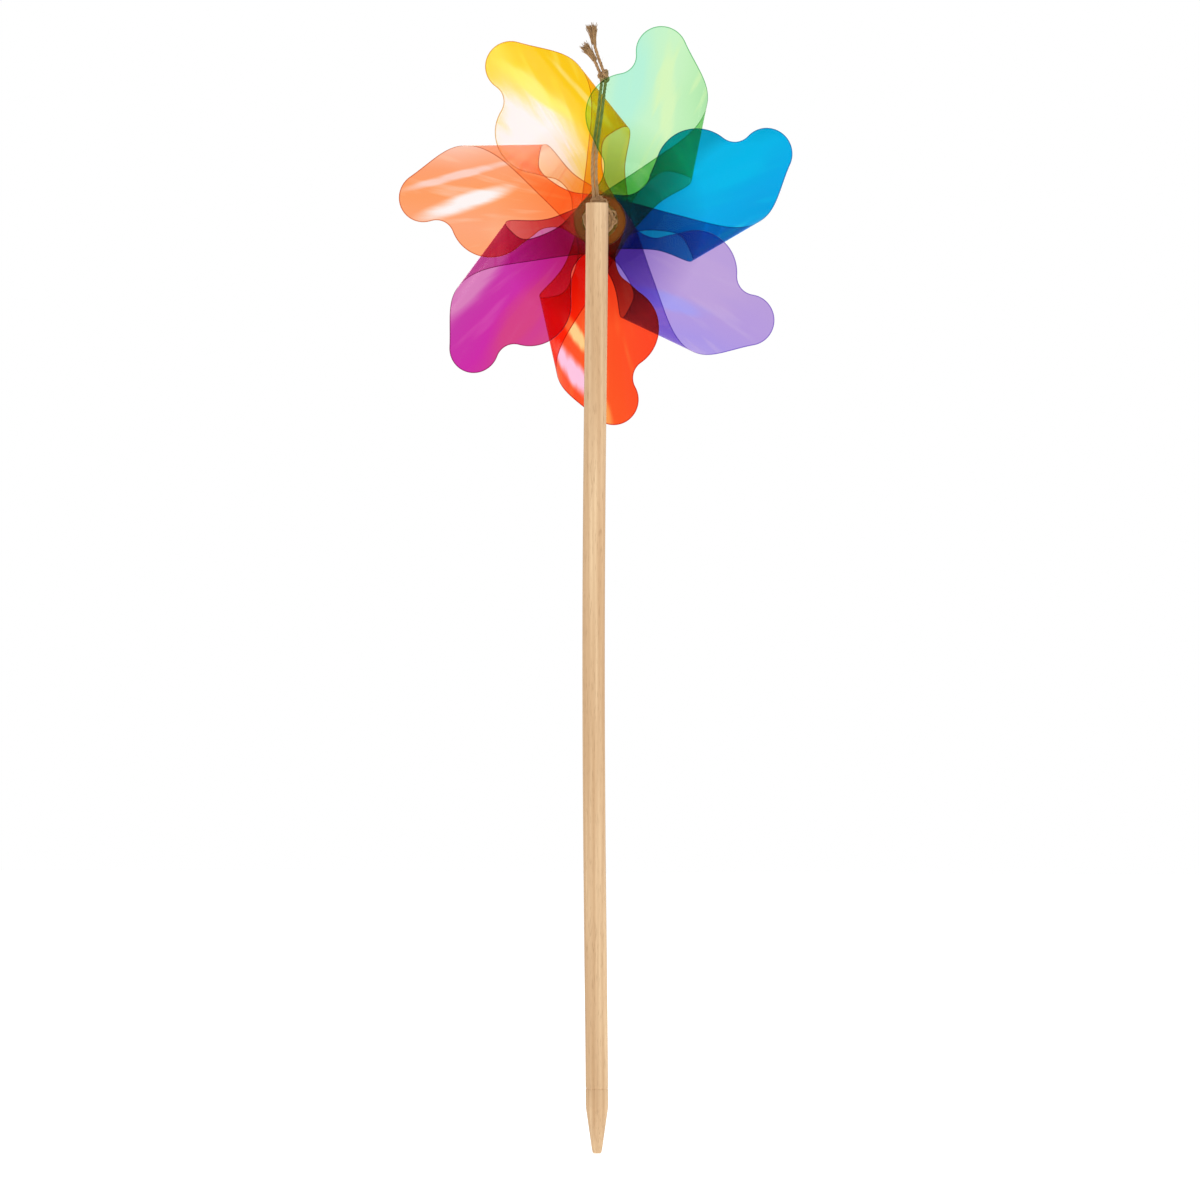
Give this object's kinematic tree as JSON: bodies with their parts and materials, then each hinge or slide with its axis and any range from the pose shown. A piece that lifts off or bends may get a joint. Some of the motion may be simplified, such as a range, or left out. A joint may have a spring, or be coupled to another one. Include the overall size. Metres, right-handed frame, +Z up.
{
  "type": "garden pinwheel",
  "caption": "Garden pinwheel: rolled clear film petals in rainbow colours spin on a nail near the top of a pointed wooden stick, with a knotted twine loop behind the hub.",
  "frame": {"origin": "on the stick's axis, at the shoulder where the plain round ends and the point begins", "axes": "+Z up along the stick, +Y the way the wheel faces, +X to the right as seen from behind the stick"},
  "size_m": [0.2649, 0.0737, 0.7529],
  "materials": {
    "wood": "sanded, unfinished",
    "steel": "bright zinc",
    "hub_plastic": "moulded, smoke brown",
    "film_yellow": "clear film",
    "film_green": "clear film",
    "film_blue": "clear film",
    "film_purple": "clear film",
    "film_red": "clear film",
    "film_magenta": "clear film",
    "film_orange": "clear film",
    "twine": "twisted jute"
  },
  "bodies": {
    "stick_body": {"stick": "wood", "axle_nail": "steel", "spacer_bead": "hub_plastic", "keeper_washer": "steel"},
    "wheel_body": {"hub_tube": "hub_plastic", "rear_washer": "hub_plastic", "core_sleeve": "hub_plastic", "front_washer": "hub_plastic", "front_cap": "hub_plastic", "petal_yellow": "film_yellow", "petal_green": "film_green", "petal_blue": "film_blue", "petal_purple": "film_purple", "petal_red": "film_red", "petal_magenta": "film_magenta", "petal_orange": "film_orange", "twine_wrap": "twine", "twine_left": "twine", "twine_right": "twine", "twine_knot": "twine"}
  },
  "joints": [
    {"name": "wheel_spin", "type": "hinge", "parent": "stick_body", "child": "wheel_body", "pos_m": [0, 0, 0.5917], "axis": [0, 1, 0], "continuous": true}
  ]
}
